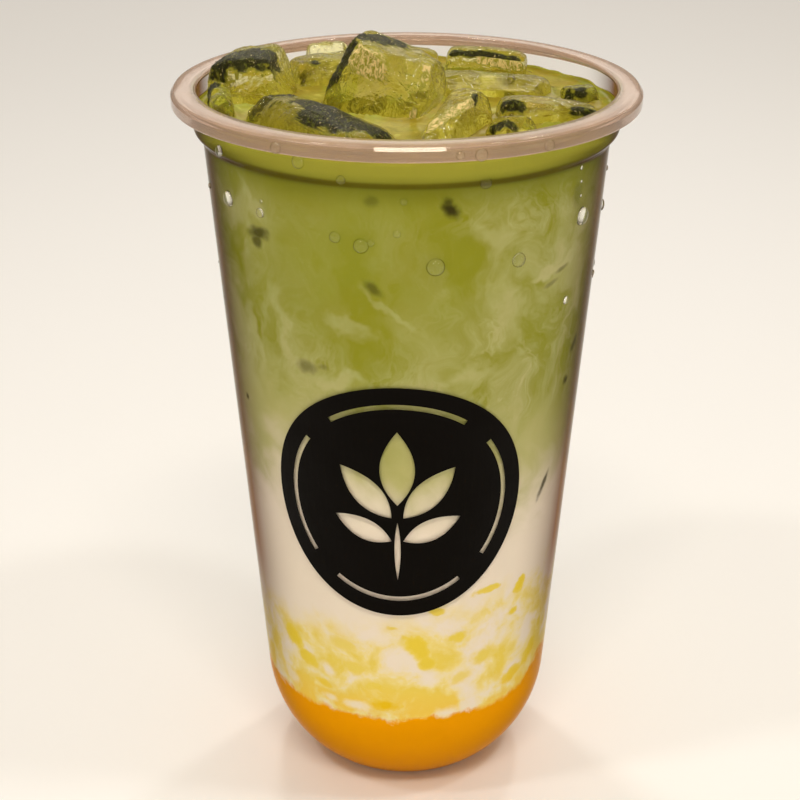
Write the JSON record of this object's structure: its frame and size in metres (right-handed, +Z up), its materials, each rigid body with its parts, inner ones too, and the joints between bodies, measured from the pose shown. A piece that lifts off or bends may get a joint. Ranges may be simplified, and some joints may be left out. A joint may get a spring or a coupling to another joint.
{
  "type": "iced matcha latte",
  "caption": "Layered iced matcha latte with mango puree and milk, ice floating on top, in a tall clear takeaway cup with a rounded bottom and a flanged rim.",
  "frame": {"origin": "centre of the cup's underside, on the surface that it stands on", "axes": "+Z up along the cup's axis, -Y towards the printed front, +X to the right seen from the front"},
  "size_m": [0.095, 0.095, 0.1657],
  "materials": {
    "cup_plastic": "clear, slightly milky injection-moulded plastic, semi-gloss",
    "mango_puree": "smooth wet fruit puree",
    "mango_milk": "milk marbled with mango puree",
    "milk": "opaque milk",
    "matcha": "opaque green tea with milk wisps",
    "ice": "wet clear ice",
    "print_ink": "flat near-black printing ink"
  },
  "bodies": {
    "root": {"cup": "cup_plastic", "mango_puree": "mango_puree", "mango_milk": "mango_milk", "milk": "milk", "matcha": "matcha", "ice_left_dome": "ice", "ice_left_sliver": "ice", "ice_front_bar": "ice", "ice_centre_block": "ice", "ice_back_left": "ice", "ice_back_chip": "ice", "ice_back_centre": "ice", "ice_back_plank": "ice", "ice_middle_slab": "ice", "ice_front_clear": "ice", "ice_right_blade": "ice", "ice_right_chip": "ice", "ice_front_chip": "ice", "print_badge": "print_ink"}
  },
  "joints": []
}
